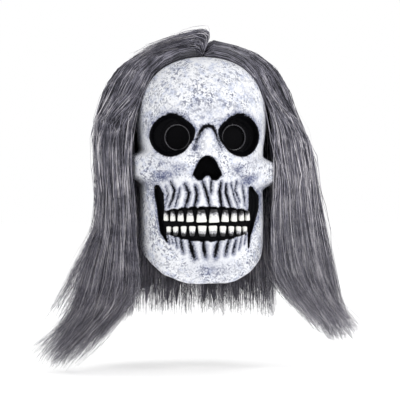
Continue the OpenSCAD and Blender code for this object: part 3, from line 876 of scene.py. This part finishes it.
def backPath(side, s, d, t):
    share = hair["domeShare"]
    a = np.sin(np.clip(t / share, 0, 1) * np.pi / 2)
    lift = d * smooth(-0.06, 0.12, a)
    phi = np.radians(mix(122.0, 238.0, s))
    grow = 2.0 + 13.0 * lift
    outline = ovalRadius(phi, head["halfWidth"] + grow * 1.6, head["halfLength"] + grow, hair["squareness"])
    radius = hair["rootPull"] * outline
    x = radius * np.sin(phi) * a
    y = mix(44.0, -radius * np.cos(phi), a)
    z = domeLevel(x, y, grow * 1.6, grow, 1.2 + hair["topBulk"] * lift)
    drop = np.clip((t - share) / (1 - share), 0, 1)
    hangR = ovalRadius(phi, head["halfWidth"] + 4, head["halfLength"] + 3.5, hair["squareness"]) + 20 * drop
    hangR = hangR + d * (12 + 6 * np.sin(np.pi * drop))
    hangZ = mix(backHigh[2], backLow[2], drop)
    join = smooth(share * 0.86, share * 1.22, t)
    x, y, z = mix(x, hangR * np.sin(phi), join), mix(y, -hangR * np.cos(phi), join), mix(z, hangZ, join)
    return np.stack([x, y, z], axis=-1)


tuft = {
    # the lock that stands up at the parting: its top line and the line it rests on
    "high": ((1, -48, 2), (4, -47, 11), (6, -45, 19), (6, -43, 25), (2, -41, 28), (-8, -40, 27.5),
             (-22, -38, 24), (-34, -36, 20), (-48, -33, 14.5), (-66, -30, 6), (-86, -26, -8)),
    "low": ((-1, -48, -2), (-4, -47, -2), (-8, -46, -1), (-13, -45, 0), (-18, -44, 1), (-24, -42, 2),
            (-31, -40, 2), (-39, -38, 1), (-52, -35, -2), (-66, -31, -6), (-84, -27, -14)),
}


def tuftPath(side, s, d, t):
    place = np.clip(t, 0, 1) * (len(tuft["high"]) - 1)
    lines = []
    for name in ("low", "high"):
        knots = np.array(tuft[name], float)
        steps = np.arange(len(knots))
        lines.append(np.stack([np.interp(place, steps, knots[:, i]) for i in range(3)], axis=-1))
    path = mix(lines[0], lines[1], d[..., None])
    path[..., 1] += (s - 0.25) * 24 * smooth(0, 0.3, t)
    return path


def strandTemplate(count, rings):
    # a row of three-sided strands, whose points are placed afterwards
    bm = bmesh.new()
    bmesh.ops.create_cone(bm, cap_ends=True, segments=3, radius1=1, radius2=1, depth=rings - 1)
    long = [e for e in bm.edges if abs(e.verts[0].co.z - e.verts[1].co.z) > 0.5]
    bmesh.ops.subdivide_edges(bm, edges=long, cuts=rings - 2, use_grid_fill=True)
    have = 1
    while have < count:
        take = min(have, count - have)
        chosen = [v for v in bm.verts if v.co.x < 4 * take - 2]
        picked = set(chosen)
        edges = [e for e in bm.edges if e.verts[0] in picked]
        faces = [f for f in bm.faces if f.verts[0] in picked]
        copy = bmesh.ops.duplicate(bm, geom=chosen + edges + faces)["geom"]
        moved = [g for g in copy if isinstance(g, bmesh.types.BMVert)]
        bmesh.ops.translate(bm, vec=(4 * have, 0, 0), verts=moved)
        have += take
    mesh = finishMesh(bm, "strands")
    points = readPoints(mesh)
    strand = np.floor((points[:, 0] + 2) / 4).astype(int)
    ring = np.rint(points[:, 2] + (rings - 1) / 2).astype(int)
    angle = np.arctan2(points[:, 1], points[:, 0] - 4 * strand)
    mesh.uv_layers.new(name="UVMap")
    return mesh, strand, ring, angle


def hairObject(name, mesh, body, shade, place):
    # the hair material reads u as a strand's own shade and v as the place from root to tip
    corners = np.empty(len(mesh.loops), dtype=np.int32)
    mesh.loops.foreach_get("vertex_index", corners)
    uv = np.stack([shade[corners], place[corners]], axis=1)
    mesh.uv_layers["UVMap"].data.foreach_set("uv", uv.astype(np.float32).ravel())
    piece = newObject(name, mesh, [greyHair], body)
    return piece


templates = {}


def makeStrands(name, body, paths, radii, shades):
    count, rings = paths.shape[:2]
    if (count, rings) not in templates:
        templates[(count, rings)] = strandTemplate(count, rings)
    template, strand, ring, angle = templates[(count, rings)]
    mesh = template.copy()
    mesh.name = name
    tangent = np.gradient(paths, axis=1)
    tangent /= np.linalg.norm(tangent, axis=2, keepdims=True) + 1e-9
    reference = rng.normal(size=(count, 1, 3))
    first = np.cross(tangent, np.broadcast_to(reference, tangent.shape))
    first /= np.linalg.norm(first, axis=2, keepdims=True) + 1e-9
    second = np.cross(tangent, first)
    outward = np.cos(angle)[:, None] * first[strand, ring] + np.sin(angle)[:, None] * second[strand, ring]
    writePoints(mesh, paths[strand, ring] + radii[strand, ring][:, None] * outward)
    return hairObject(name, mesh, body, shades[strand], ring / (rings - 1))


def makeLock(path, side, count, clumps, seed, wild=1.0, ends=(0.86, 1.0), reach=(0.1, 1), kick=(0, 0, 0),
             kickStart=0.84):
    # strands drawn together into clumps, each strand with its own small wander
    pick = np.random.default_rng(seed)
    rings = hair["rings"]
    centreS = pick.uniform(0, 1, clumps)
    centreD = pick.uniform(*reach, clumps) ** 0.75
    clumpShade = pick.normal(0, 0.15, clumps)
    clumpEnd = pick.uniform(*ends, clumps)
    clumpSway = pick.normal(0, 1, (clumps, 3))
    clumpKick = pick.uniform(0, 1, clumps) ** 1.4
    owner = pick.integers(0, clumps, count)
    s0 = np.clip(centreS[owner] + pick.normal(0, 0.04, count), 0, 1)
    d0 = np.clip(centreD[owner] + pick.normal(0, 0.12, count), 0.02, 1.04)
    loose = pick.uniform(0, 1, count) ** 1.5
    end = np.clip(clumpEnd[owner] * pick.uniform(0.90, 1.03, count), 0.3, 1.03)
    t = np.linspace(0, 1, rings)[None, :] ** hair["ringCrowding"] * end[:, None]
    gather = smooth(0.30, 1.0, t) * 0.6 * (1 - loose)[:, None]
    s = mix(s0[:, None], centreS[owner][:, None], gather)
    d = mix(d0[:, None], centreD[owner][:, None], gather * 0.6)
    paths = path(side, s, d, t)
    late = smooth(0.3, 1.0, t)[..., None]
    paths = paths + clumpSway[owner][:, None, :] * late * np.array([2.2, 3.0, 1.0]) * wild
    curl = (smooth(kickStart, 1.0, t) * clumpKick[owner][:, None])[..., None]
    paths = paths + curl * np.array(kick)
    frizz = np.where(pick.uniform(0, 1, count) < hair["frizzShare"], 2.2, 0.8)
    for size, low, high in ((1.5, 0.8, 2.0), (0.8, 2.4, 4.6)):
        phase = pick.uniform(0, 6.28, (count, 1, 3))
        waves = pick.uniform(low, high, (count, 1, 1))
        wander = np.sin(t[..., None] * waves * 6.28 + phase) * pick.normal(0, 1, (count, 1, 3))
        paths = paths + wander * smooth(0.03, 0.4, t)[..., None] * (size * wild * frizz)[:, None, None]
    paths = paths + pick.normal(0, 1, (count, 1, 3)) * smooth(0.45, 1.0, t)[..., None] * 3.0 * wild
    thick = mix(hair["thinRadius"], hair["thickRadius"], pick.uniform(0, 1, (count, 1)) ** 2)
    radii = mix(1.0, hair["tipShare"], smooth(0.5, 1.0, np.linspace(0, 1, rings)[None, :])) * thick
    # inner strands get painted shade and outer strands painted light from their depth d0
    shades = 0.44 + clumpShade[owner] + pick.normal(0, 0.25, count) + 0.20 * (d0 - 0.7) + 0.10 * (frizz - 0.8)
    return paths, radii, np.clip(shades, 0.0, 1.0)


def makeUndercoat(name, path, side, across=40, down=64, depth=0.72, tip=0.9):
    # closed dark slab under the strands, so that no light comes through; the dark colour is painted shade for
    # the deep hair
    bm = bmesh.new()
    bmesh.ops.create_cube(bm, size=1)
    for axis, cuts in ((0, across - 1), (2, down - 1)):
        along = [e for e in bm.edges if abs(e.verts[0].co[axis] - e.verts[1].co[axis]) > 0.5]
        bmesh.ops.subdivide_edges(bm, edges=along, cuts=cuts, use_grid_fill=True)
    mesh = finishMesh(bm, name)
    points = readPoints(mesh)
    angle = np.arccos(np.clip(-2 * points[:, 0], -1, 1)) * np.sign(points[:, 1])
    t = (points[:, 2] + 0.5) * tip
    ridge = 1 + 0.05 * np.sin(angle * 23) + 0.035 * np.sin(angle * 41 + 1.7)
    fringe = smooth(0.7, 1.0, t / tip)
    t = t * (1 - 0.10 * fringe * (1 + np.sin(angle * 17) * np.sin(angle * 29 + 0.6)))
    s = 0.5 + 0.92 * points[:, 0] * (1 - 0.25 * fringe)
    bulge = np.sign(points[:, 1]) * np.maximum(np.abs(np.sin(angle)), 0.15)
    d = 0.42 + (depth - 0.42) * bulge * ridge * (1 - 0.7 * fringe)
    placed = path(side, np.clip(s, 0.02, 0.98), np.clip(d, 0.03, 1), t)
    writePoints(mesh, placed)
    bm = bmesh.new()
    bm.from_mesh(mesh)
    bmesh.ops.recalc_face_normals(bm, faces=bm.faces)
    bm.to_mesh(mesh)
    bm.free()
    mesh.uv_layers.new(name="UVMap")
    # dark shades: painted shade of the hair's inner depth
    shade = 0.24 + 0.10 * np.sin(angle * 23) + 0.08 * np.sin(angle * 61)
    return hairObject(name, mesh, None, np.clip(shade, 0, 1), t / tip * 0.7)


def crossHinge(piece):
    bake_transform(piece)


flyaways = {"count": 300, "clumps": 100, "wild": 1.9, "thinness": 0.6}
each, clumps = hair["strandsEach"], hair["clumpsEach"]
for side in ("left", "right"):
    sign, sweep = fallShape[side]["sign"], fallShape[side]["sweep"]
    under = makeUndercoat("undercoat_" + side, sidePath, side)
    paintedSideLight = fallShape[side]["paintedSideLight"]
    crossHinge(under)
    for layer in range(3):
        lock = makeLock(sidePath, side, each, clumps, seed=50 + layer + 40 * sign, kick=sweep)
        # the side's painted light is added to the strand shades
        strands = makeStrands("strands_%s_%d" % (side, layer + 1), None, *lock[:2], lock[2] + paintedSideLight)
        crossHinge(strands)
        if layer == 0:
            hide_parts("crown_hair_" + side, "side_fall_" + side)
    paths, radii, shades = makeLock(sidePath, side, flyaways["count"], flyaways["clumps"], seed=95 + sign,
                                    wild=flyaways["wild"], ends=(0.7, 1.0), reach=(0.5, 1))
    wisps = makeStrands("flyaways_" + side, None, paths, radii * flyaways["thinness"], shades)
    crossHinge(wisps)
lock = makeLock(sidePath, "right", 420, 14, seed=7, ends=(0.83, 0.90), reach=(0.8, 1), kick=(-50, 0, 10),
                kickStart=0.5)
strands = makeStrands("loose_lock_right", None, *lock)
crossHinge(strands)

under = makeUndercoat("undercoat_back", backPath, "", depth=0.66, tip=0.97)
crossHinge(under)
for layer in range(3):
    reach = ((0.3, 1), (0.1, 1), (0, 0.05))[layer]
    lock = makeLock(backPath, "", each, clumps, seed=30 + layer, ends=(0.92, 1.0), reach=reach)
    strands = makeStrands("strands_back_%d" % (layer + 1), None, lock[0], lock[1] * 1.2, lock[2] - 0.08)
    crossHinge(strands)
    if layer == 0:
        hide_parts("crown_hair_back", "back_fall")
lock = makeLock(tuftPath, "", 1200, 30, seed=44, wild=0.8, ends=(0.75, 1.0), reach=(0, 1))
# the tuft's strands are painted lighter, as painted light on the raised lock
tuftPiece = makeStrands("tuft_strands", "mask", *lock[:2], lock[2] + 0.10)
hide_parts("parting_tuft")
for template, *_ in templates.values():
    bpy.data.meshes.remove(template)
print("hair made")


# stage, camera and light

view = {"turn": -5.5, "lift": 1.0, "distance": 2.2, "aim": (-0.0087, -0.095, -0.178), "width": 0.48}


def makeStage():
    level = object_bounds()[0][2] - 0.004
    floor = bmesh.new()
    bmesh.ops.create_grid(floor, x_segments=1, y_segments=1, size=6)
    bmesh.ops.translate(floor, vec=(0, 0, level), verts=floor.verts)
    material, _, shader = newMaterial("paleFloor", 0.7)
    shader.inputs["Base Color"].default_value = (0.9, 0.9, 0.9, 1)
    shader.inputs["Emission Color"].default_value = (1, 1, 1, 1)
    shader.inputs["Emission Strength"].default_value = 0.43
    ground = newObject("studio_floor", finishMesh(floor, "studio_floor"), [material], None)


def makeCamera():
    camera = bpy.data.objects.new("camera", bpy.data.cameras.new("camera"))
    bpy.context.scene.collection.objects.link(camera)
    aim = Vector(view["aim"])
    turn, lift = math.radians(view["turn"]), math.radians(view["lift"])
    away = Vector((math.sin(turn) * math.cos(lift), -math.cos(turn) * math.cos(lift), math.sin(lift)))
    camera.location = aim + away * view["distance"]
    camera.rotation_euler = (-away).to_track_quat("-Z", "Y").to_euler()
    camera.data.lens = camera.data.sensor_width * view["distance"] / view["width"]
    camera.data.clip_end = 30
    bpy.context.scene.camera = camera


def makeLight(name, place, size, power):
    lamp = bpy.data.lights.new(name, "AREA")
    lamp.size = size
    lamp.energy = power
    light = bpy.data.objects.new(name, lamp)
    light.location = place
    light.rotation_euler = (Vector((0, 0, -0.15)) - Vector(place)).to_track_quat("-Z", "Y").to_euler()
    bpy.context.scene.collection.objects.link(light)


makeCamera()
makeStage()
makeLight("key", (1.3, -1.7, 1.4), 0.9, 26)
makeLight("fill", (-1.6, -1.8, 0.4), 1.4, 8)
makeLight("rim", (0.9, 1.5, 1.5), 0.9, 16)
world = bpy.data.worlds.new("studio")
world.use_nodes = True
sky = world.node_tree.nodes["Background"]
backdrop = world.node_tree.nodes.new("ShaderNodeBackground")
choose = world.node_tree.nodes.new("ShaderNodeMixShader")
seen = world.node_tree.nodes.new("ShaderNodeLightPath").outputs["Is Camera Ray"]
for shader, strength, slot in ((sky, 0.64, 1), (backdrop, 1.0, 2)):
    shader.inputs["Strength"].default_value = strength
    shader.inputs["Color"].default_value = (1, 1, 1, 1)
    world.node_tree.links.new(shader.outputs[0], choose.inputs[slot])
world.node_tree.links.new(seen, choose.inputs[0])
world.node_tree.links.new(choose.outputs[0], world.node_tree.nodes["World Output"].inputs["Surface"])
bpy.context.scene.world = world
bpy.context.scene.view_settings.view_transform = "Standard"
print("stage made")
